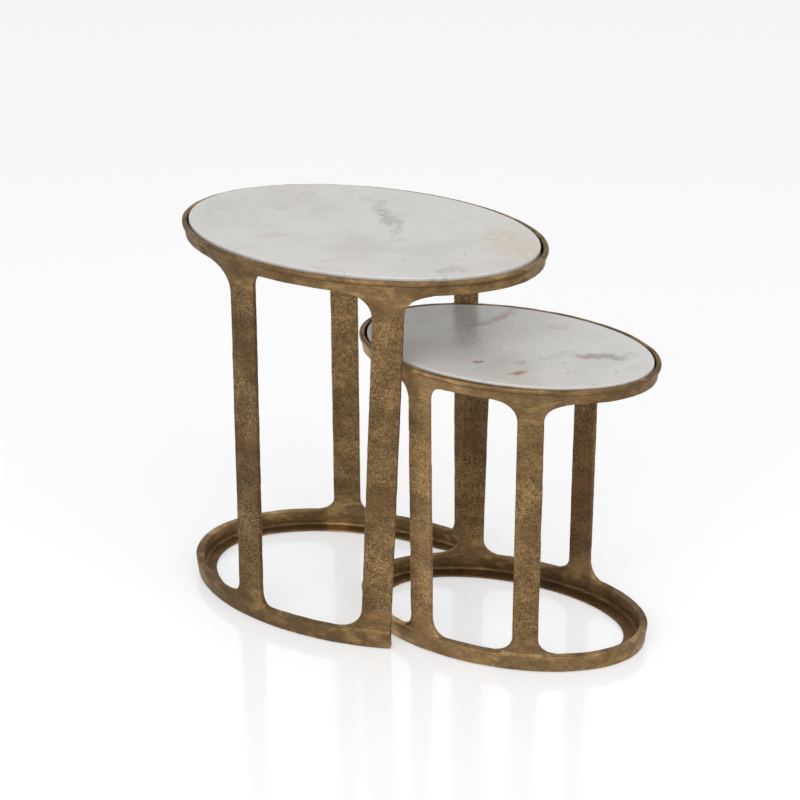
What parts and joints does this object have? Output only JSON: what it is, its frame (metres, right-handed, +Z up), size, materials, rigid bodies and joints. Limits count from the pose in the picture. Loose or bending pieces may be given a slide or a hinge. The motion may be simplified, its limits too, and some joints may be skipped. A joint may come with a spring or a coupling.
{
  "type": "nesting tables",
  "caption": "Oval nesting side tables with marble tops let into cast metal frames; the smaller slides in under the larger through its open end.",
  "frame": {"origin": "on the floor, at the middle of the footprint of the set with the small table pulled out as at rest", "axes": "+Z up; X along the long axis of both tops, +X towards the small table; +Y towards the back"},
  "size_m": [0.668, 0.334, 0.5325],
  "materials": {
    "antique_brass": "sand cast, ground at the welds, antique brass finish with a dark patina",
    "white_marble": "polished white marble with soft grey and rust veins",
    "clear_rubber": "clear soft bumper",
    "felt": "dark felt"
  },
  "bodies": {
    "large_frame": {"large_top_ring": "antique_brass", "large_base_ring": "antique_brass", "large_leg_front_left": "antique_brass", "large_leg_front_right": "antique_brass", "large_leg_back_left": "antique_brass", "large_leg_back_right": "antique_brass", "large_marble_bumpers": "clear_rubber", "large_floor_pads": "felt"},
    "large_marble": {"large_marble_top": "white_marble"},
    "small_frame": {"small_top_ring": "antique_brass", "small_base_ring": "antique_brass", "small_leg_front_left": "antique_brass", "small_leg_front_right": "antique_brass", "small_leg_back_left": "antique_brass", "small_leg_back_right": "antique_brass", "small_marble_bumpers": "clear_rubber", "small_floor_pads": "felt"},
    "small_marble": {"small_marble_top": "white_marble"}
  },
  "joints": [
    {"name": "nest_small_table", "type": "slide", "parent": "large_frame", "child": "small_frame", "axis": [-0.9962, 0.0873, 0], "range_m": [-0.15, 0.2118]},
    {"name": "lift_large_marble", "type": "slide", "parent": "large_frame", "child": "large_marble", "axis": [0, 0, 1], "range_m": [0, 0.06]},
    {"name": "lift_small_marble", "type": "slide", "parent": "small_frame", "child": "small_marble", "axis": [0, 0, 1], "range_m": [0, 0.06]}
  ]
}
